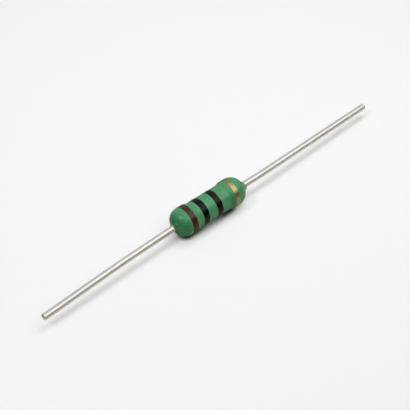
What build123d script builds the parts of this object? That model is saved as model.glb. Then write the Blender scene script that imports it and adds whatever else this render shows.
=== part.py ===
from build123d import *
from math import hypot, pi
import os

# Axial wirewound resistor of the 1 W class, 10 ohm, lying on its lacquered body. Millimetres, +Z up.
# X runs along the part, from the left lead's tip to the right one's. The origin is on the surface that
# the body lies on, halfway between the two tips and under the body's axis.

# Ceramic core
core_diameter = 2.4
core_length = 9.3

# End caps, drawn steel cups pressed over the core's ends
cap_wall = 0.25
cap_overlap = 1.9  # how far each cap reaches along the core
cap_corner = 0.25  # bevel of the drawn corner

# Resistance wire, nickel chrome, wound from cap to cap
resistance = 10.0  # ohm, as the four bands say
resistivity = 1.08e-3  # ohm mm
wire_diameter = 0.1
wire_side_count = 6  # the round wire is so fine that it is drawn with flats
winding_clearance = 0.005  # between the wire and what it is wound on
rim_crossing = 0.04  # how far past a cap's rim the wire starts down to the core
tail_half_turns = 1  # at each end, on a cap
weld_spot_diameter = 0.26
weld_spot_height = 0.1

# Leads, tinned copper wire butt-welded to the caps. Their lengths run along X from the cap's face.
lead_diameter = 0.8
left_lead_length = 20.25
right_lead_length = 23.43
weld_diameter = 1.24
weld_length = 0.25
tip_bevel = 0.05

# Bends that handling left in the leads: distances from the cap's face, and slopes off the body's axis
left_knee = 0.75
left_knee_radius = 6.0
left_swing = 0.04  # sideways
left_droop_start = 8.9
left_droop_radius = 40.0
left_droop = 0.025  # downwards
right_knee = 3.6
right_knee_radius = 30.0
right_swing = 0.0465
right_droop = 0.0196

# Lacquer coating
cap_cover = 0.41  # thickness over the caps
winding_cover = 0.4  # thickness over the winding
left_end_cover = 0.37  # thickness over the left cap's face
right_end_cover = 0.47
left_dome_length = 1.4
left_dome_foot = 0.62  # radius at which the dome's ellipse would stand square to the axis
left_dome_turn = 75.0  # degrees of the ellipse, before the dome turns onto the lead
left_collar = 0.25  # lacquer drawn out along the lead
left_collar_edge = 0.04  # thickness at its tip
left_shoulder = 0.5  # length of the slope from the bulge to the waist
right_dome_length = 1.57
right_dome_foot = 0.44
right_dome_turn = 60.0
right_collar = 0.58
right_collar_edge = 0.09
right_shoulder = 0.65
shoulder_on_cap = 0.2  # how far inside a cap's rim its shoulder starts
wire_room = 0.01  # between the coating and the winding

# Colour bands, painted rings
paint_thickness = 0.03
brown_width = 0.83
brown_from_end = 1.43  # from the left dome's end
first_black_width = 0.88
first_black_gap = 1.06  # from the band before it
second_black_width = 0.87
second_black_gap = 1.29
gold_width = 0.7
gold_from_end = 1.63  # from the right dome's end

# Sizes that follow
core_radius = core_diameter / 2
cap_radius = core_radius + cap_wall
wire_radius = wire_diameter / 2
lead_radius = lead_diameter / 2
half_core = core_length / 2
cap_face = half_core + cap_wall
cap_rim = half_core - cap_overlap
winding_radius = core_radius + winding_clearance + wire_radius
tail_radius = cap_radius + winding_clearance + wire_radius
bulge_radius = cap_radius + cap_cover
waist_radius = winding_radius + wire_radius + winding_cover
left_end = -cap_face - left_end_cover
right_end = cap_face + right_end_cover
core_x = (left_lead_length - right_lead_length) / 2
axis_height = bulge_radius + paint_thickness

# The winding's turns come from the resistance.
wire_area = pi * wire_radius**2
turn_length = 2 * pi * winding_radius
half_turns = round(2 * resistance * wire_area / (resistivity * turn_length))
half_pitch = 2 * (cap_rim - rim_crossing) / (half_turns - 2 * tail_half_turns)
winding_length = half_turns * half_pitch

# A half turn lies in a tilted plane, so it bows out a little past the radius that its ends have.
winding_bow = hypot(winding_radius, half_pitch / 2)
tail_bow = hypot(tail_radius, half_pitch / 2)

# Sections are drawn from the middle of the core, with the body's axis along X, and revolved.
middle = Vector(core_x, 0, axis_height)
section_plane = Plane(origin=middle, x_dir=(1, 0, 0), z_dir=(0, -1, 0))
body_axis = Axis(middle, (1, 0, 0))

os.makedirs("parts", exist_ok=True)


def outline(lift):
    """The coating's outside from the left collar to the right one, moved out by lift, and the axis."""
    bulge = bulge_radius + lift
    waist = waist_radius + lift
    left_foot = left_dome_foot + lift
    right_foot = right_dome_foot + lift
    left_dome = EllipticalCenterArc(
        (left_end + left_dome_length, left_foot),
        left_dome_length,
        bulge - left_foot,
        start_angle=90,
        arc_size=left_dome_turn,
    )
    right_dome = EllipticalCenterArc(
        (right_end - right_dome_length, right_foot),
        right_dome_length,
        bulge - right_foot,
        start_angle=90,
        arc_size=-right_dome_turn,
    )
    left_tip = (left_end - left_collar, lead_radius + left_collar_edge + lift)
    left_crown = (-cap_rim - shoulder_on_cap, bulge)
    left_waist = (-cap_rim - shoulder_on_cap + left_shoulder, waist)
    right_waist = (cap_rim + shoulder_on_cap - right_shoulder, waist)
    right_crown = (cap_rim + shoulder_on_cap, bulge)
    right_tip = (right_end + right_collar, lead_radius + right_collar_edge + lift)
    Spline(left_tip, left_dome @ 1, tangents=[(1, 0), -(left_dome % 1)])
    Line(left_dome @ 0, left_crown)
    Spline(left_crown, left_waist, tangents=[(1, 0), (1, 0)])
    Line(left_waist, right_waist)
    Spline(right_waist, right_crown, tangents=[(1, 0), (1, 0)])
    Line(right_crown, right_dome @ 0)
    Spline(right_dome @ 1, right_tip, tangents=[right_dome % 1, (1, 0)])
    Polyline(right_tip, (right_tip[0], 0), (left_tip[0], 0), left_tip)


def cap_section(side):
    """A cap's section without its bore. side is -1 for the left cap and 1 for the right one."""
    with BuildSketch(mode=Mode.PRIVATE) as section:
        with Locations((side * (cap_face + cap_rim) / 2, cap_radius / 2)):
            Rectangle(cap_face - cap_rim, cap_radius)
        outer_corner = section.vertices().sort_by(Axis((0, 0, 0), (side, 1, 0)))[-1]
        chamfer(outer_corner, cap_corner)
    return section.sketch


def weld_section(side):
    """The section of the copper that a lead's weld pressed out against its cap."""
    foot = side * cap_face
    end = side * (cap_face + weld_length)
    with BuildSketch(mode=Mode.PRIVATE) as section:
        with BuildLine():
            Polyline((foot, 0), (foot, weld_diameter / 2), (end, lead_radius), (end, 0), close=True)
        make_face()
    return section.sketch


# Ceramic core
with BuildPart() as core:
    with BuildSketch(section_plane):
        with Locations((0, core_radius / 2)):
            Rectangle(core_length, core_radius)
    revolve(axis=body_axis)
core.part.label = "ceramic_core"
export_step(core.part, "parts/ceramic_core.step")

# End caps
for side, label in ((-1, "left_end_cap"), (1, "right_end_cap")):
    with BuildPart() as cap:
        with BuildSketch(section_plane):
            add(cap_section(side))
            with Locations((side * (half_core + cap_rim) / 2, core_radius / 2)):
                Rectangle(cap_overlap, core_radius, mode=Mode.SUBTRACT)
        revolve(axis=body_axis)
    cap.part.label = label
    export_step(cap.part, f"parts/{label}.step")


def wire_height(step):
    """How far the wire is from the body's axis after this many half turns."""
    on_cap = min(step, half_turns - step) <= tail_half_turns
    return tail_radius if on_cap else winding_radius


# Resistance winding. Each half turn is a semicircle in a tilted plane, and runs smoothly into the next.
# The one beside each tail joins two heights, so it lifts the wire from the core onto the cap.
with BuildPart() as winding:
    with BuildLine() as wire_path:
        start = middle + Vector(-winding_length / 2, 0, wire_height(0))
        for step in range(1, half_turns + 1):
            up = (-1) ** step
            end = middle + Vector(step * half_pitch - winding_length / 2, 0, up * wire_height(step))
            bow = Vector(0, up * (end - start).length / 2, 0)
            ThreePointArc(start, (start + end) / 2 + bow, end)
            start = end
    with BuildSketch(Plane(origin=wire_path.line @ 0, x_dir=(0, 0, 1), z_dir=wire_path.line % 0)):
        RegularPolygon(wire_radius, wire_side_count)
    sweep(path=wire_path.line)
    for wire_end in (wire_path.line @ 0, wire_path.line @ 1):
        foot = Vector(wire_end.X, 0, axis_height)
        with BuildSketch(Plane(origin=foot, z_dir=wire_end - foot)):
            Circle(weld_spot_diameter / 2)
        extrude(amount=cap_radius + weld_spot_height)
    with BuildSketch(section_plane):
        for side in (-1, 1):
            add(cap_section(side))
    revolve(axis=body_axis, mode=Mode.SUBTRACT)
winding.part.label = "resistance_winding"
export_step(winding.part, "parts/resistance_winding.step")

# Leads, each swept along its bent middle line. The lines start at the caps' faces.
left_bend = left_droop_start - left_knee
left_route = [
    (-cap_face, 0, 0),
    (-cap_face - left_knee, 0, 0),
    (-cap_face - left_droop_start, -left_swing * left_bend, 0),
    (
        -cap_face - left_lead_length,
        -left_swing * (left_lead_length - left_knee),
        -left_droop * (left_lead_length - left_droop_start),
    ),
]
right_span = right_lead_length - right_knee
right_route = [
    (cap_face, 0, 0),
    (cap_face + right_knee, 0, 0),
    (cap_face + right_lead_length, right_swing * right_span, -right_droop * right_span),
]
leads = (
    (-1, "left_lead", left_route, [left_knee_radius, left_droop_radius]),
    (1, "right_lead", right_route, [right_knee_radius]),
)
for side, label, route, bend_radii in leads:
    with BuildPart() as lead:
        with BuildLine() as lead_path:
            FilletPolyline([middle + Vector(*point) for point in route], radius=bend_radii)
        with BuildSketch(Plane(origin=lead_path.line @ 0, z_dir=(side, 0, 0))):
            Circle(lead_radius)
        sweep(path=lead_path.line)
        tip_edge = lead.edges().filter_by(GeomType.CIRCLE).sort_by(Axis.X, reverse=side > 0)[0]
        chamfer(tip_edge, tip_bevel)
        with BuildSketch(section_plane):
            add(weld_section(side))
        revolve(axis=body_axis)
    lead.part.label = label
    export_step(lead.part, f"parts/{label}.step")

# Lacquer coating. It fills the space outside the caps and the leads' roots, and lies on the winding.
with BuildPart() as coating:
    with BuildSketch(section_plane):
        with BuildLine():
            outline(0)
        make_face()
        for side in (-1, 1):
            add(cap_section(side), mode=Mode.SUBTRACT)
            add(weld_section(side), mode=Mode.SUBTRACT)
        Rectangle(2 * (right_end + right_collar), 2 * lead_radius, mode=Mode.SUBTRACT)
        Rectangle(2 * cap_rim, 2 * (winding_bow + wire_radius + wire_room), mode=Mode.SUBTRACT)
        tail_start = cap_rim - rim_crossing - half_pitch - wire_diameter
        tail_end = (winding_length + weld_spot_diameter) / 2 + wire_room
        for side in (-1, 1):
            with Locations((side * (tail_start + tail_end) / 2, 0)):
                Rectangle(
                    tail_end - tail_start,
                    2 * (tail_bow + wire_radius + wire_room),
                    mode=Mode.SUBTRACT,
                )
    revolve(axis=body_axis)
coating.part.label = "lacquer_coating"
export_step(coating.part, "parts/lacquer_coating.step")

# Colour bands, rings of paint that follow the coating's outline
brown_start = left_end + brown_from_end
first_black_start = brown_start + brown_width + first_black_gap
second_black_start = first_black_start + first_black_width + second_black_gap
gold_start = right_end - gold_from_end - gold_width
bands = (
    ("brown_band", brown_start, brown_width),
    ("first_black_band", first_black_start, first_black_width),
    ("second_black_band", second_black_start, second_black_width),
    ("gold_band", gold_start, gold_width),
)
for label, band_start, band_width in bands:
    with BuildPart() as band:
        with BuildSketch(section_plane):
            with BuildLine():
                outline(paint_thickness)
            make_face()
            with BuildLine():
                outline(0)
            make_face(mode=Mode.SUBTRACT)
            with Locations((band_start + band_width / 2, bulge_radius)):
                Rectangle(band_width, 2 * bulge_radius, mode=Mode.INTERSECT)
        revolve(axis=body_axis)
    band.part.label = label
    export_step(band.part, f"parts/{label}.step")
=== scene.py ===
from math import acos, cos, exp, hypot, pi, radians, sin, tan

import bpy
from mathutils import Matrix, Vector, noise


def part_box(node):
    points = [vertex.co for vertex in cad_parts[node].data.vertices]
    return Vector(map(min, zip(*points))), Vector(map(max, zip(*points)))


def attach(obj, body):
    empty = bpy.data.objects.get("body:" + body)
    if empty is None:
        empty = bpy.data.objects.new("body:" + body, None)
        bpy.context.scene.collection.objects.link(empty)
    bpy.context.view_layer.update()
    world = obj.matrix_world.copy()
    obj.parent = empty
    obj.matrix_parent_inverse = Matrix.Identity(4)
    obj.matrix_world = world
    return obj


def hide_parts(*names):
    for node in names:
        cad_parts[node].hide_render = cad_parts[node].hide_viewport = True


# Looks of an axial wirewound resistor: a lacquered body with four painted bands, and two tinned leads.
# Metres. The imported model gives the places, and the lacquer, bands and leads get finer pieces over it.
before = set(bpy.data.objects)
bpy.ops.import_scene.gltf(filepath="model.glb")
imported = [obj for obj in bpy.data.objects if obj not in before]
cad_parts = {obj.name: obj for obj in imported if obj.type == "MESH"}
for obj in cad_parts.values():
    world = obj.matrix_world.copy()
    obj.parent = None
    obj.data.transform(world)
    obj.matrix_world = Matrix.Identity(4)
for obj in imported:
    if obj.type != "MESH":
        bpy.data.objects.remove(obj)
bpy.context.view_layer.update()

MM = 0.001
ROOT = "root"

# Camera: the photograph's view, which is a square of this many pixels
FRAME_PIXELS = 410
FOCAL_PIXELS = 1176
SENSOR = 36.0
CLIP_START = 0.01
VIEW_TURN = radians(-41.15)
VIEW_HEIGHT = radians(44.9)
CAMERA_PLACE = Vector((-68.435, -75.959, 102.981)) * MM

# Places on the body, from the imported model
coating_low, coating_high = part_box("lacquer_coating")
left_cap_low, left_cap_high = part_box("left_end_cap")
right_cap_low, right_cap_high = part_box("right_end_cap")
BULGE = coating_high.y
AXIS = Vector((0, 0, coating_high.z - BULGE))
CAP_RADIUS = left_cap_high.y

# The coating's outline, as in the part's source
WAIST = 1.705 * MM
LEFT_END = left_cap_low.x - 0.37 * MM
RIGHT_END = right_cap_high.x + 0.47 * MM
LEFT_DOME = 1.4 * MM
LEFT_DOME_FOOT = 0.62 * MM
LEFT_DOME_TURN = radians(75)
RIGHT_DOME = 1.57 * MM
RIGHT_DOME_FOOT = 0.44 * MM
RIGHT_DOME_TURN = radians(60)
SHOULDER_ON_CAP = 0.2 * MM
LEFT_SHOULDER = 0.5 * MM
RIGHT_SHOULDER = 0.65 * MM

# Leads: the wire, how far it starts off the solid's line, and the rounding of its cut end
LEAD = 0.4 * MM  # radius
LEAD_SHIFT = Vector((0, -0.05, -0.01)) * MM
LEAD_BEVEL = 0.05 * MM

# Each bend: millimetres out from the cap, radius in millimetres, and slopes to the side and down after it
LEFT_BENDS = ((0.75, 30.0, 0.04, 0.0), (8.9, 40.0, 0.045, 0.025))
RIGHT_BENDS = ((3.6, 30.0, 0.0465, 0.0196),)

# Collars of lacquer on the leads: how thick they end, and where
LEFT_COLLAR_EDGE = 0.04 * MM
LEFT_COLLAR_TIP = coating_low.x - 0.1 * MM
RIGHT_COLLAR_EDGE = 0.18 * MM
RIGHT_COLLAR_TIP = coating_high.x - 0.2 * MM
RIGHT_COLLAR_SLOPE = -0.45

# How many steps each stretch of the outline has, and how many a turn round the body has
COLLAR_STEPS = 20
LEFT_DOME_STEPS = 48
LEFT_CROWN_STEPS = 16
LEFT_SHOULDER_STEPS = 14
WAIST_STEPS = 70
RIGHT_SHOULDER_STEPS = 16
RIGHT_CROWN_STEPS = 14
RIGHT_DOME_STEPS = 40
TURNS = 192


def hermite(start, end, start_slope, end_slope, count):
    """Points of a cubic from start to end, without its first. Slopes are dr/dx, and points are (x, r)."""
    span = end[0] - start[0]
    points = []
    for step in range(1, count + 1):
        t = step / count
        rise = (
            (2 * t**3 - 3 * t**2 + 1) * start[1]
            + (t**3 - 2 * t**2 + t) * span * start_slope
            + (3 * t**2 - 2 * t**3) * end[1]
            + (t**3 - t**2) * span * end_slope
        )
        points.append((start[0] + t * span, rise))
    return points


def dome(end_x, length, foot, turn, side, count):
    """Points (x, r) of a dome from its crown outwards. side is -1 for the left one and 1 for the right."""
    crown_x = end_x - side * length
    points = []
    for step in range(count + 1):
        angle = turn * step / count
        points.append((crown_x + side * length * sin(angle), foot + (BULGE - foot) * cos(angle)))
    return points


def dome_slope(length, foot, turn):
    """How steeply a dome falls where it ends, as radius lost for each length along the axis."""
    return (BULGE - foot) * sin(turn) / (length * cos(turn))


def outline():
    """The coating's outside from the left collar's tip to the right one's, as (x, r)."""
    left = dome(LEFT_END, LEFT_DOME, LEFT_DOME_FOOT, LEFT_DOME_TURN, -1, LEFT_DOME_STEPS)[::-1]
    right = dome(RIGHT_END, RIGHT_DOME, RIGHT_DOME_FOOT, RIGHT_DOME_TURN, 1, RIGHT_DOME_STEPS)
    left_tip = (LEFT_COLLAR_TIP, LEAD + LEFT_COLLAR_EDGE)
    right_tip = (RIGHT_COLLAR_TIP, LEAD + RIGHT_COLLAR_EDGE)
    left_slope = dome_slope(LEFT_DOME, LEFT_DOME_FOOT, LEFT_DOME_TURN)
    right_slope = dome_slope(RIGHT_DOME, RIGHT_DOME_FOOT, RIGHT_DOME_TURN)
    left_crown = (left_cap_high.x - SHOULDER_ON_CAP, BULGE)
    left_waist = (left_crown[0] + LEFT_SHOULDER, WAIST)
    right_crown = (right_cap_low.x + SHOULDER_ON_CAP, BULGE)
    right_waist = (right_crown[0] - RIGHT_SHOULDER, WAIST)
    points = [left_tip]
    points += hermite(left_tip, left[0], 0, left_slope, COLLAR_STEPS)
    points += left[1:]
    points += hermite(left[-1], left_crown, 0, 0, LEFT_CROWN_STEPS)
    points += hermite(left_crown, left_waist, 0, 0, LEFT_SHOULDER_STEPS)
    points += hermite(left_waist, right_waist, 0, 0, WAIST_STEPS)
    points += hermite(right_waist, right_crown, 0, 0, RIGHT_SHOULDER_STEPS)
    points += hermite(right_crown, right[0], 0, 0, RIGHT_CROWN_STEPS)
    points += right[1:]
    points += hermite(right[-1], right_tip, -right_slope, RIGHT_COLLAR_SLOPE, COLLAR_STEPS)
    return points


def mesh_piece(name, vertices, faces, material, nodes):
    """A smooth piece on the part's body that stands for those CAD nodes."""
    mesh = bpy.data.meshes.new(name)
    mesh.from_pydata(vertices, [], faces)
    mesh.validate()
    mesh.polygons.foreach_set("use_smooth", [True] * len(mesh.polygons))
    mesh.materials.append(material)
    piece = bpy.data.objects.new(name, mesh)
    bpy.context.scene.collection.objects.link(piece)
    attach(piece, ROOT)
    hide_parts(*nodes)
    return piece


def grid_faces(rows, columns, closed_rows):
    """Quads of a grid of rings. The columns run round, and the rows do too if closed_rows."""
    faces = []
    for row in range(rows if closed_rows else rows - 1):
        next_row = (row + 1) % rows
        for column in range(columns):
            next_column = (column + 1) % columns
            faces.append(
                (
                    row * columns + column,
                    row * columns + next_column,
                    next_row * columns + next_column,
                    next_row * columns + column,
                )
            )
    return faces


def around(x, r, angle):
    """The point at a place along the body's axis, a distance from it and an angle from +Y to +Z."""
    return AXIS + Vector((x, r * cos(angle), r * sin(angle)))


# Unevenness of the dipped lacquer
SKIN_WAVE = 0.01 * MM
SKIN_WAVE_LENGTH = 1.6 * MM

# The right collar sags to the front, and its rim leans as it does
SAG_START = RIGHT_END - 0.35 * MM
SAG = Vector((0, -0.07, -0.05)) * MM
SAG_LEAN = 0.2

# A drop stands above the left collar and leans outwards
DROP = around(LEFT_END - 0.02 * MM, 0.74 * MM, radians(119))
DROP_HEIGHT = 0.15 * MM
DROP_RADIUS = 0.18 * MM
DROP_LEAN = 1.2


def skin_wave(x, r, angle):
    """How far the lacquer stands off its outline there."""
    return SKIN_WAVE * noise.noise(around(x, r, angle) / SKIN_WAVE_LENGTH)


def drop(x, r, angle):
    """How much the drop above the left collar adds to the lacquer there."""
    off = (around(x, r, angle) - DROP).length / DROP_RADIUS
    return DROP_HEIGHT * exp(-off * off)


def lacquer_point(x, r, angle):
    """The skin's point for a point of the outline, with the wave, the drop and the right collar's sag."""
    lump = drop(x, r, angle)
    point = around(x - DROP_LEAN * lump, r + skin_wave(x, r, angle) + lump, angle)
    share = min(1.0, max(0.0, (x - SAG_START) / (RIGHT_COLLAR_TIP - SAG_START)))
    lean = Vector((SAG_LEAN * (point - AXIS).dot(SAG.normalized()), 0, 0))
    return point + share * share * (SAG + lean)


def make_lacquer(material):
    """The coating: its skin, then back inside along the leads and the caps."""
    skin = outline()
    inside = [
        (RIGHT_COLLAR_TIP, LEAD),
        (right_cap_high.x, LEAD),
        (right_cap_high.x, CAP_RADIUS),
        (left_cap_low.x, CAP_RADIUS),
        (left_cap_low.x, LEAD),
        (LEFT_COLLAR_TIP, LEAD),
    ]
    vertices = []
    for point_at, rings in ((lacquer_point, skin), (around, inside)):
        for x, r in rings:
            for turn in range(TURNS):
                vertices.append(point_at(x, r, 2 * pi * turn / TURNS))
    faces = grid_faces(len(skin) + len(inside), TURNS, True)
    return mesh_piece("lacquer", vertices, faces, material, ["lacquer_coating"])


# Band paint: how far it stands off the lacquer and reaches into it, and its rounded edge
PAINT = 0.02 * MM
PAINT_ROOT = 0.02 * MM
EDGE_ROUND = 0.05 * MM
EDGE_SHAPE = ((1 / 3, 0.6), (1, 0.95))  # shares of the rounding's width and of the paint's height
TOP_ROWS = (0.3, 0.5, 0.7)  # shares of the band's width

# The paint's edges wander, each in its own way
EDGE_WANDER = 0.02 * MM
EDGE_INWARDS = 0.5  # how much further in than the solid's they lie, as a share of that
EDGE_WAVES = 1.7  # how quickly they wander
EDGES_APART = 3  # between the seeds of a band's two edges


def band_profile(width):
    """The paint's section from its left foot to its right one, as (share of the width, lift)."""
    left = [(0, -PAINT_ROOT), (0, 0)]
    left += [(share * EDGE_ROUND / width, rise * PAINT) for share, rise in EDGE_SHAPE]
    right = [(1 - share, lift) for share, lift in reversed(left)]
    return left + [(share, PAINT) for share in TOP_ROWS] + right


def edge_wander(angle, seed):
    """How far an edge of the paint strays outwards there."""
    place = Vector((cos(angle), sin(angle), seed)) * EDGE_WAVES
    return EDGE_WANDER * (noise.noise(place) - EDGE_INWARDS)


def make_band(node, material, seed):
    """A ring of paint. Bands on the caps lie on the bulges, and the others on the waist."""
    low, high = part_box(node)
    radius = BULGE if high.y > BULGE else WAIST
    profile = band_profile(high.x - low.x)
    vertices = []
    for share, lift in profile:
        for turn in range(TURNS):
            angle = 2 * pi * turn / TURNS
            left = low.x - edge_wander(angle, seed)
            right = high.x + edge_wander(angle, seed + EDGES_APART)
            x = left + share * (right - left)
            vertices.append(around(x, radius + skin_wave(x, radius, angle) + lift, angle))
    faces = grid_faces(len(profile), TURNS, True)
    return mesh_piece(node + "_paint", vertices, faces, material, [node])


# How finely the leads are built, and the rings of their cut ends
LEAD_TURNS = 64
LEAD_STEP = 0.12 * MM
BEND_STEPS = 12
BEVEL_SHAPE = ((1, 0), (0.4, 0.3), (0, 1))  # shares of the bevel, back from the tip and in from the side
TIP_RING = 0.5  # share of the flat end's radius


def straight(start, end):
    """Points from start towards end, without the end."""
    count = max(1, round((end - start).length / LEAD_STEP))
    return [start.lerp(end, step / count) for step in range(count)]


def lead_line(side, face_x, tip_x, bends):
    """The middle line of a lead from the cap's face to the tip, with its bends rounded."""
    start = AXIS + Vector((face_x, 0, 0)) + LEAD_SHIFT
    corners = [start]
    directions = [Vector((side, 0, 0))]
    along = 0.0
    for at, _radius, swing, droop in bends:
        step = at * MM - along
        corners.append(corners[-1] + directions[-1] * (step / abs(directions[-1].x)))
        directions.append(Vector((side, side * swing, -droop)))
        along = at * MM
    corners.append(corners[-1] + directions[-1] * (abs(tip_x - face_x) - along))
    directions = [direction.normalized() for direction in directions]
    points = []
    cursor = start
    for number, (_at, radius, _swing, _droop) in enumerate(bends):
        before = directions[number]
        after = directions[number + 1]
        turn = acos(min(1.0, before.dot(after)))
        reach = radius * MM * tan(turn / 2)
        corner = corners[number + 1]
        arc_start = corner - before * reach
        points += straight(cursor, arc_start)
        centre_way = (after - before * before.dot(after)).normalized()
        centre = arc_start + centre_way * radius * MM
        for step in range(1, BEND_STEPS):
            angle = turn * step / BEND_STEPS
            points.append(centre + radius * MM * (before * sin(angle) - centre_way * cos(angle)))
        cursor = corner + after * reach
    points += straight(cursor, corners[-1])
    points.append(corners[-1])
    return points


def lead_rings(line):
    """A lead's rings as (middle, direction, radius), with the cut end's bevel and a ring on its flat."""
    rings = []
    for number, place in enumerate(line):
        ahead = line[min(number + 1, len(line) - 1)]
        behind = line[max(number - 1, 0)]
        rings.append((place, (ahead - behind).normalized(), LEAD))
    tip, way, _radius = rings.pop()
    while (rings[-1][0] - tip).length < 2 * LEAD_BEVEL:
        rings.pop()
    for back, inwards in BEVEL_SHAPE:
        rings.append((tip - way * LEAD_BEVEL * back, way, LEAD - LEAD_BEVEL * inwards))
    rings.append((tip, way, (LEAD - LEAD_BEVEL) * TIP_RING))
    return rings


def make_lead(node, side, bends, material):
    """A lead from the cap's face to the tip, closed at both ends. side is -1 for the left one."""
    low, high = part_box(node)
    face_x = left_cap_low.x if side < 0 else right_cap_high.x
    box_end_x = low.x if side < 0 else high.x
    swing, droop = bends[-1][2:]
    way = Vector((side, side * swing, -droop)).normalized()
    tip_x = box_end_x - side * (LEAD - LEAD_BEVEL) * hypot(way.y, way.z)
    rings = lead_rings(lead_line(side, face_x, tip_x, bends))
    vertices = []
    for place, way, radius in rings:
        across = Vector((0, 0, 1)).cross(way).normalized()
        up = way.cross(across)
        for turn in range(LEAD_TURNS):
            angle = 2 * pi * turn / LEAD_TURNS
            vertices.append(place + radius * (across * cos(angle) + up * sin(angle)))
    faces = grid_faces(len(rings), LEAD_TURNS, False)
    root_centre = len(vertices)
    vertices.append(rings[0][0])
    tip_centre = len(vertices)
    vertices.append(rings[-1][0])
    last = (len(rings) - 1) * LEAD_TURNS
    for turn in range(LEAD_TURNS):
        after = (turn + 1) % LEAD_TURNS
        faces.append((root_centre, after, turn))
        faces.append((tip_centre, last + turn, last + after))
    return mesh_piece(node + "_wire", vertices, faces, material, [node])


class Nodes:
    """Short ways to add nodes to a node tree."""

    def __init__(self, tree):
        self.tree = tree

    def node(self, kind, **settings):
        made = self.tree.nodes.new(kind)
        for name, value in settings.items():
            setattr(made, name, value)
        return made

    def feed(self, socket, value):
        """Give a socket its input, either another node's output or a constant."""
        if isinstance(value, bpy.types.NodeSocket):
            self.tree.links.new(value, socket)
        else:
            socket.default_value = value

    def length(self, vector):
        made = self.node("ShaderNodeVectorMath", operation="LENGTH")
        self.feed(made.inputs[0], vector)
        return made.outputs["Value"]

    def dot(self, first, second):
        made = self.node("ShaderNodeVectorMath", operation="DOT_PRODUCT")
        self.feed(made.inputs[0], first)
        self.feed(made.inputs[1], second)
        return made.outputs["Value"]

    def times(self, first, second):
        made = self.node("ShaderNodeMath", operation="MULTIPLY")
        self.feed(made.inputs[0], first)
        self.feed(made.inputs[1], second)
        return made.outputs["Value"]

    def ramp(self, value, low, high, to_low=0.0, to_high=1.0, kind="LINEAR"):
        """Values from low to high become those from to_low to to_high, and stay there beyond."""
        made = self.node("ShaderNodeMapRange", interpolation_type=kind)
        self.feed(made.inputs["Value"], value)
        self.feed(made.inputs["From Min"], low)
        self.feed(made.inputs["From Max"], high)
        self.feed(made.inputs["To Min"], to_low)
        self.feed(made.inputs["To Max"], to_high)
        return made.outputs["Result"]

    def mix(self, share, first, second):
        made = self.node("ShaderNodeMix", data_type="RGBA")
        self.feed(made.inputs["Factor"], share)
        self.feed(made.inputs["A"], first)
        self.feed(made.inputs["B"], second)
        return made.outputs["Result"]


# Stretches of a noise's values that a ramp spreads over its whole reach
SOFT = (0.35, 0.65)
WIDE = (0.3, 0.7)

# Single axes, for distances along one of them
X_ONLY = (1, 0, 0)
Y_ONLY = (0, 1, 0)


class Look(Nodes):
    """A material with its shader, and the nodes that feed it from places on the object."""

    def __init__(self, name):
        self.material = bpy.data.materials.new(name)
        self.material.use_nodes = True
        super().__init__(self.material.node_tree)
        self.shader = self.tree.nodes["Principled BSDF"]
        self.place = self.node("ShaderNodeTexCoord").outputs["Object"]

    def scaled(self, per_mm, middle=(0, 0, 0)):
        """Object coordinates from a middle, in so many units for each millimetre along X, Y and Z."""
        mapping = self.node("ShaderNodeMapping")
        self.feed(mapping.inputs["Vector"], self.place)
        self.feed(mapping.inputs["Scale"], [value / MM for value in per_mm])
        self.feed(mapping.inputs["Location"], [-m * v / MM for m, v in zip(middle, per_mm)])
        return mapping.outputs["Vector"]

    def apart(self, per_mm, middle):
        """The distance from a middle, in so many units for each millimetre along X, Y and Z."""
        return self.length(self.scaled(per_mm, middle))

    def along(self, axis="X"):
        """The place along an axis, in metres."""
        parts = self.node("ShaderNodeSeparateXYZ")
        self.feed(parts.inputs["Vector"], self.place)
        return parts.outputs[axis]

    def noise(self, per_mm, detail=2.0, roughness=0.5):
        """Noise with so many waves for each millimetre along X, Y and Z."""
        made = self.node("ShaderNodeTexNoise")
        self.feed(made.inputs["Vector"], self.scaled(per_mm))
        self.feed(made.inputs["Scale"], 1.0)
        self.feed(made.inputs["Detail"], detail)
        self.feed(made.inputs["Roughness"], roughness)
        return made.outputs["Fac"]

    def uneven(self, low, high, per_mm, detail=3, roughness=0.5):
        """A value that wanders between low and high."""
        return self.ramp(self.noise(per_mm, detail, roughness), *WIDE, low, high)

    def bump(self, height, distance):
        made = self.node("ShaderNodeBump")
        self.feed(made.inputs["Strength"], 1.0)
        self.feed(made.inputs["Distance"], distance)
        self.feed(made.inputs["Height"], height)
        return made.outputs["Normal"]

    def set(self, **values):
        for name, value in values.items():
            self.feed(self.shader.inputs[name.replace("_", " ")], value)


# Lacquer: painted shade, darker low on the left dome and at the right shoulder, and thin at the collars'
# tips
LACQUER_DARK = (0.063, 0.282, 0.122, 1)
LACQUER_LIGHT = (0.073, 0.31, 0.142, 1)
PAINTED_SHADE_LACQUER = (0.03, 0.19, 0.075, 1)
PAINTED_SHADE_SHARE = 0.75
PAINTED_SHADE_HEIGHTS = (3.5 * MM, 2.6 * MM)  # from nothing to full, as with the next two
PAINTED_SHADE_ON_DOME = (LEFT_END + 1.6 * MM, LEFT_END + 0.9 * MM)
PAINTED_SHADE_MIDDLE = (1.1 * MM, 0, 0)
PAINTED_SHADE_EDGES = (0.75, 0.15)  # millimetres from its middle
# Lighter green on the right collar: thinner lacquer, and painted light over its shading
THIN_COLLAR_AND_PAINTED_LIGHT = (0.13, 0.36, 0.13, 1)
THIN_LACQUER = (0.32, 0.4, 0.11, 1)
THIN_EDGE = 0.12 * MM


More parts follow.
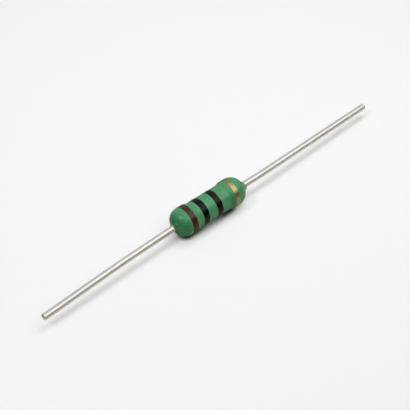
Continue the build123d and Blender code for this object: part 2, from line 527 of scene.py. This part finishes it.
def lacquer_look():
    """Mottled green lacquer with a faint orange peel, and painted shade low on the left dome and at the
    right shoulder.
    """
    look = Look("green_lacquer")
    mottle = look.ramp(look.noise((0.8, 0.8, 0.8), 3), *SOFT)
    colour = look.mix(mottle, LACQUER_DARK, LACQUER_LIGHT)
    along = look.along()
    # Painted shade: the lacquer is darker low down on the left dome and at the right shoulder
    low = look.ramp(look.along("Z"), *PAINTED_SHADE_HEIGHTS)
    on_dome = look.ramp(along, *PAINTED_SHADE_ON_DOME)
    on_shoulder = look.ramp(look.apart(X_ONLY, PAINTED_SHADE_MIDDLE), *PAINTED_SHADE_EDGES)
    for painted_shade in (on_dome, on_shoulder):
        colour = look.mix(look.times(look.times(painted_shade, low), PAINTED_SHADE_SHARE), colour, PAINTED_SHADE_LACQUER)
    # The right collar's lighter green, partly painted light
    colour = look.mix(look.ramp(along, RIGHT_END, RIGHT_COLLAR_TIP), colour, THIN_COLLAR_AND_PAINTED_LIGHT)
    for tip, inwards in ((LEFT_COLLAR_TIP, 1), (RIGHT_COLLAR_TIP, -1)):
        colour = look.mix(look.ramp(along, tip + inwards * THIN_EDGE, tip), colour, THIN_LACQUER)
    rough = look.uneven(0.19, 0.27, (0.6, 0.6, 0.6), 4)
    peel = look.bump(look.noise((3.5, 3.5, 3.5), 2), 0.003 * MM)
    look.set(Base_Color=colour, Roughness=rough, Normal=peel, Specular_IOR_Level=0.55)
    return look.material


# Where the second black band's paint runs thin along its right edge
FRINGE = 0.09 * MM
FRINGE_COLOUR = (0.16, 0.075, 0.012, 1)


def paint_look(name, dark, light, specular, sheen, fringe_x=None):
    """Band paint. sheen colours its reflections, and fringe_x is where it thins out to a brown line."""
    look = Look(name)
    streak = look.ramp(look.noise((7, 0.5, 0.5), 3), *SOFT)
    colour = look.mix(streak, dark, light)
    if fringe_x is not None:
        patchy = look.ramp(look.noise((1.5, 1.5, 1.5), 2), 0.4, 0.6, to_low=0.3)
        fringe = look.ramp(look.along(), fringe_x - FRINGE, fringe_x - FRINGE / 2)
        colour = look.mix(look.times(patchy, fringe), colour, FRINGE_COLOUR)
    rough = look.uneven(0.17, 0.25, (6, 0.6, 0.6))
    grain = look.bump(look.noise((9, 1, 1), 3), 0.003 * MM)
    look.set(Base_Color=colour, Roughness=rough, Normal=grain)
    look.set(Specular_IOR_Level=specular, Specular_Tint=sheen)
    return look.material


GOLD_DARK = (0.3, 0.285, 0.078, 1)
GOLD_LIGHT = (0.64, 0.58, 0.205, 1)


def gold_look():
    """Metal flakes under a clear coat."""
    look = Look("gold_paint")
    streak = look.ramp(look.noise((8, 0.7, 0.7), 4, 0.6), *WIDE)
    colour = look.mix(streak, GOLD_DARK, GOLD_LIGHT)
    rough = look.uneven(0.28, 0.44, (10, 10, 10))
    flake = look.bump(look.noise((9, 6, 6), 3, 0.6), 0.008 * MM)
    look.set(Base_Color=colour, Roughness=rough, Normal=flake, Metallic=1.0)
    look.set(Coat_Weight=1.0, Coat_Roughness=0.25)
    return look.material


# Tin on the leads: bright, tarnished and grimy, and creamy next to the collars
TIN = (0.88, 0.865, 0.84, 1)
TARNISHED_TIN = (0.82, 0.8, 0.765, 1)
GRIMY_TIN = (0.72, 0.675, 0.62, 1)
CREAM = (0.86, 0.77, 0.56, 1)
CREAM_REACH = 0.4 * MM


def lead_look():
    """Dull tin: mostly metal, with fine lines along the wire from its drawing."""
    look = Look("tinned_copper")
    tarnish = look.ramp(look.noise((0.5, 1.2, 1.2), 4, 0.6), 0.35, 0.7)
    colour = look.mix(tarnish, TIN, TARNISHED_TIN)
    grime = look.ramp(look.noise((0.7, 4, 4), 4, 0.6), 0.5, 0.75)
    colour = look.mix(grime, colour, GRIMY_TIN)
    body_half = (RIGHT_COLLAR_TIP - LEFT_COLLAR_TIP) / 2
    away = look.apart(X_ONLY, (LEFT_COLLAR_TIP + body_half, 0, 0))
    cream = look.ramp(away, (body_half + CREAM_REACH) / MM, body_half / MM)
    colour = look.mix(cream, colour, CREAM)
    rough = look.uneven(0.25, 0.34, (0.8, 5, 5), 4, 0.6)
    drawn = look.bump(look.noise((0.25, 22, 22), 3), 0.0008 * MM)
    look.set(Base_Color=colour, Roughness=rough, Normal=drawn, Metallic=0.72)
    return look.material


def metal_look(name, dark, light, rough):
    """Clouded metal. rough is the range of its roughness."""
    look = Look(name)
    cloud = look.ramp(look.noise((1.5, 1.5, 1.5), 4), *SOFT)
    colour = look.mix(cloud, dark, light)
    look.set(Base_Color=colour, Roughness=look.uneven(*rough, (5, 5, 5)), Metallic=1.0)
    return look.material


CERAMIC = (0.85, 0.83, 0.78, 1)
CERAMIC_SPECK = (0.76, 0.73, 0.67, 1)


def ceramic_look():
    """Unglazed white ceramic, speckled and grainy."""
    look = Look("ceramic")
    speckle = look.ramp(look.noise((4, 4, 4), 4), 0.4, 0.7)
    colour = look.mix(speckle, CERAMIC, CERAMIC_SPECK)
    grain = look.bump(look.noise((14, 14, 14), 3), 0.006 * MM)
    look.set(Base_Color=colour, Roughness=0.75, Normal=grain)
    return look.material


def carry_over(node, material):
    """A CAD node stays as it is, with a better material."""
    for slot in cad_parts[node].material_slots:
        slot.material = material


# Paper under the part, by what meets it: the camera, the light that it throws on the part, and reflections
FLOOR_REACH = 3.0
SEEN_PAPER = (0.95, 0.95, 0.95, 1)
SEEN_PAPER_LIGHT = (0.965, 0.965, 0.965, 1)
LIT_PAPER = (0.72, 0.72, 0.7, 1)
# Painted light and shade in the reflected paper: lighter beside the leads, darker behind them
MIRRORED_PAPER = (0.46, 0.42, 0.36, 1)
MIRRORED_BESIDE_LEADS = (0.74, 0.66, 0.57, 1)
MIRRORED_BEHIND_LEADS = (0.1, 0.095, 0.09, 1)
MIDDLE = Vector((-1.45, 0, 0)) * MM
PAST_BODY = (6.5, 9.0)  # millimetres along the part from its middle
BESIDE_LEADS = (3.5, 1.2)  # millimetres to the side
BEHIND_LEADS = (-0.3 * MM, 0.7 * MM)  # along +Y

# Beyond an oval, the camera sees the paper partly in even light, so that the shadows there are paler
EVEN = 0.44
EVEN_PAPER = (0.93, 0.93, 0.93, 1)
EVEN_SIZE = (3.5, 1.1, 1.0)  # the oval's half sizes in millimetres
EVEN_EDGES = (1.05, 1.8)  # in half sizes, from nothing to full
NO_PAPER = (0, 0, 0, 1)

# Painted shadow on the paper under the body, fainter under its waist, which stands off the paper
PAINTED_SHADOW_MIDDLE = Vector((-2.1, -0.3, 0)) * MM
PAINTED_SHADOW_EDGES = ((3.4, 4.6), (0.4, 1.32))  # millimetres along the part and to the side
PAINTED_SHADOW_ROUND = (1.0, 0.35)  # shares of the way between those edges, from nothing to full
PAINTED_SHADOW_COLOUR = (0.14, 0.2, 0.155, 1)
WAIST_MIDDLE = (-1.9 * MM, 0, 0)
WAIST_EDGES = (0.7, 2.3)  # millimetres
WAIST_SHARE = 0.15


def painted_shadow_share(look):
    """How strongly the painted shadow darkens the paper: a rounded oblong under the body, fainter under
    its waist.
    """
    past = look.node("ShaderNodeCombineXYZ")
    for way, socket, (inner, outer) in zip((X_ONLY, Y_ONLY), past.inputs, PAINTED_SHADOW_EDGES):
        look.feed(socket, look.ramp(look.apart(way, PAINTED_SHADOW_MIDDLE), inner, outer))
    foot = look.ramp(look.length(past.outputs["Vector"]), *PAINTED_SHADOW_ROUND)
    off_waist = look.ramp(look.apart(X_ONLY, WAIST_MIDDLE), *WAIST_EDGES, to_low=WAIST_SHARE)
    return look.times(foot, off_waist)


def mirrored_paper(look):
    """The paper in reflections, with painted light close to the leads and painted shade behind them."""
    past_body = look.ramp(look.apart(X_ONLY, MIDDLE), *PAST_BODY)
    beside = look.times(past_body, look.ramp(look.apart(Y_ONLY, MIDDLE), *BESIDE_LEADS))
    behind = look.times(past_body, look.ramp(look.along("Y"), *BEHIND_LEADS))
    paper = look.mix(beside, MIRRORED_PAPER, MIRRORED_BESIDE_LEADS)
    return look.mix(behind, paper, MIRRORED_BEHIND_LEADS)


def paper_look():
    """Pale paper with a painted shadow under the body. The camera sees it nearly white, and the part is
    lit by it as by a greyer one.
    """
    look = Look("floor_paper")
    grain = look.ramp(look.noise((0.4, 0.4, 0.4), 2), *WIDE)
    seen = look.mix(grain, SEEN_PAPER, SEEN_PAPER_LIGHT)
    # The painted shadow under the body, where the paper also gets no even light
    foot = painted_shadow_share(look)
    even = look.ramp(look.apart([1 / size for size in EVEN_SIZE], MIDDLE), *EVEN_EDGES, to_high=EVEN)
    even = look.times(even, look.ramp(foot, 1.0, 0.0))
    seen = look.mix(even, look.mix(foot, seen, PAINTED_SHADOW_COLOUR), NO_PAPER)
    path = look.node("ShaderNodeLightPath")
    unseen = look.mix(path.outputs["Is Glossy Ray"], LIT_PAPER, mirrored_paper(look))
    colour = look.mix(path.outputs["Is Camera Ray"], unseen, seen)
    look.set(Base_Color=colour, Roughness=0.9, Specular_IOR_Level=0.0)
    look.set(Emission_Color=EVEN_PAPER)
    look.set(Emission_Strength=look.times(path.outputs["Is Camera Ray"], even))
    return look.material


def make_floor():
    """A wide square of paper that the body lies on."""
    corners = [(x * FLOOR_REACH, y * FLOOR_REACH, 0) for x, y in ((-1, -1), (1, -1), (1, 1), (-1, 1))]
    mesh = bpy.data.meshes.new("floor")
    mesh.from_pydata(corners, [], [(0, 1, 2, 3)])
    mesh.materials.append(paper_look())
    floor = bpy.data.objects.new("floor", mesh)
    bpy.context.scene.collection.objects.link(floor)


# Lamps: name, place, width in metres, and how bright a mirror would show it
LAMPS = (
    ("left_lamp", Vector((-84, 20, 130)) * MM, 0.05, 6.1),
    ("right_lamp", Vector((30, 10, 90)) * MM, 0.04, 6.35),
)
LAMP_COLOUR = (0.98, 1.0, 1.02)


def make_lamp(name, place, size, radiance):
    """A round lamp that faces the part."""
    lamp = bpy.data.lights.new(name, "AREA")
    lamp.shape = "DISK"
    lamp.size = size
    lamp.energy = radiance * pi * pi / 4 * size * size
    lamp.color = LAMP_COLOUR
    light = bpy.data.objects.new(name, lamp)
    light.location = place
    light.rotation_euler = place.to_track_quat("Z", "Y").to_euler()
    light.visible_camera = False
    light.visible_glossy = False
    bpy.context.scene.collection.objects.link(light)


# Light tent, grey with patches: each one's way, the cosines to it where it begins and is full, its colour
BACK = (0.44, 0.44, 0.43, 1)
OPENING = (0.05, 0.045, 0.03, 1)
TENT = (
    ((-0.95, 0.1, 0.3), 0.4, 0.6, OPENING),  # left
    ((0.1, -0.95, 0.3), 0.25, 0.45, OPENING),  # front
    ((0.27, -0.28, 0.92), 0.74, 0.86, (0.94, 0.94, 0.93, 1)),  # ceiling
    ((0.48, -0.42, 0.77), 0.93, 0.965, (1.6, 1.6, 1.58, 1)),  # panel in it
    ((-0.57, 0.13, 0.81), 0.975, 0.993, (4.6, 4.7, 4.8, 1)),  # spot
)
SEEN_BACKDROP = (0.93, 0.93, 0.93, 1)


def make_world():
    """The light tent around the part, and a plain pale backdrop where the camera sees past the paper."""
    world = bpy.data.worlds.new("studio")
    bpy.context.scene.world = world
    world.use_nodes = True
    nodes = Nodes(world.node_tree)
    way = nodes.node("ShaderNodeTexCoord").outputs["Generated"]
    tent = BACK
    for middle, begins, full, colour in TENT:
        share = nodes.ramp(nodes.dot(way, middle), begins, full, kind="SMOOTHSTEP")
        tent = nodes.mix(share, tent, colour)
    unseen = world.node_tree.nodes["Background"]
    nodes.feed(unseen.inputs["Color"], tent)
    nodes.feed(unseen.inputs["Strength"], 1.0)
    seen = nodes.node("ShaderNodeBackground")
    nodes.feed(seen.inputs["Color"], SEEN_BACKDROP)
    path = nodes.node("ShaderNodeLightPath")
    choice = nodes.node("ShaderNodeMixShader")
    nodes.feed(choice.inputs["Fac"], path.outputs["Is Camera Ray"])
    nodes.feed(choice.inputs[1], unseen.outputs["Background"])
    nodes.feed(choice.inputs[2], seen.outputs["Background"])
    nodes.feed(world.node_tree.nodes["World Output"].inputs["Surface"], choice.outputs["Shader"])


def make_camera():
    """The camera that took the photograph."""
    data = bpy.data.cameras.new("camera")
    data.sensor_width = SENSOR
    data.lens = SENSOR * FOCAL_PIXELS / FRAME_PIXELS
    data.clip_start = CLIP_START
    camera = bpy.data.objects.new("camera", data)
    camera.location = CAMERA_PLACE
    camera.rotation_euler = (pi / 2 - VIEW_HEIGHT, 0, VIEW_TURN)
    bpy.context.scene.collection.objects.link(camera)
    bpy.context.scene.camera = camera


# Stage
make_camera()
bpy.context.scene.view_settings.view_transform = "Standard"
make_world()
make_floor()
for lamp_values in LAMPS:
    make_lamp(*lamp_values)

# Pieces
brown = paint_look(
    "brown_paint",
    dark=(0.042, 0.015, 0.004, 1),
    light=(0.054, 0.02, 0.007, 1),
    specular=0.44,
    sheen=(1, 0.93, 0.9, 1),
)
black = paint_look(
    "black_paint",
    dark=(0.0003, 0.001, 0.001, 1),
    light=(0.0006, 0.002, 0.002, 1),
    specular=0.24,
    sheen=(0.75, 1, 1, 1),
)
warm_black = paint_look(
    "warm_black_paint",
    dark=(0.001, 0.002, 0.0006, 1),
    light=(0.002, 0.004, 0.001, 1),
    specular=0.27,
    sheen=(1, 1, 0.7, 1),
    fringe_x=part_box("second_black_band")[1].x,
)
make_lacquer(lacquer_look())
make_band("brown_band", brown, 1)
make_band("first_black_band", black, 2)
make_band("second_black_band", warm_black, 3)
make_band("gold_band", gold_look(), 4)
tinned = lead_look()
make_lead("left_lead", -1, LEFT_BENDS, tinned)
make_lead("right_lead", 1, RIGHT_BENDS, tinned)

# Solids that stay
steel = metal_look("cap_steel", dark=(0.5, 0.49, 0.47, 1), light=(0.6, 0.59, 0.57, 1), rough=(0.25, 0.4))
nickel_chrome = metal_look(
    "nickel_chrome", dark=(0.34, 0.31, 0.27, 1), light=(0.46, 0.43, 0.39, 1), rough=(0.3, 0.45)
)
carry_over("left_end_cap", steel)
carry_over("right_end_cap", steel)
carry_over("ceramic_core", ceramic_look())
carry_over("resistance_winding", nickel_chrome)
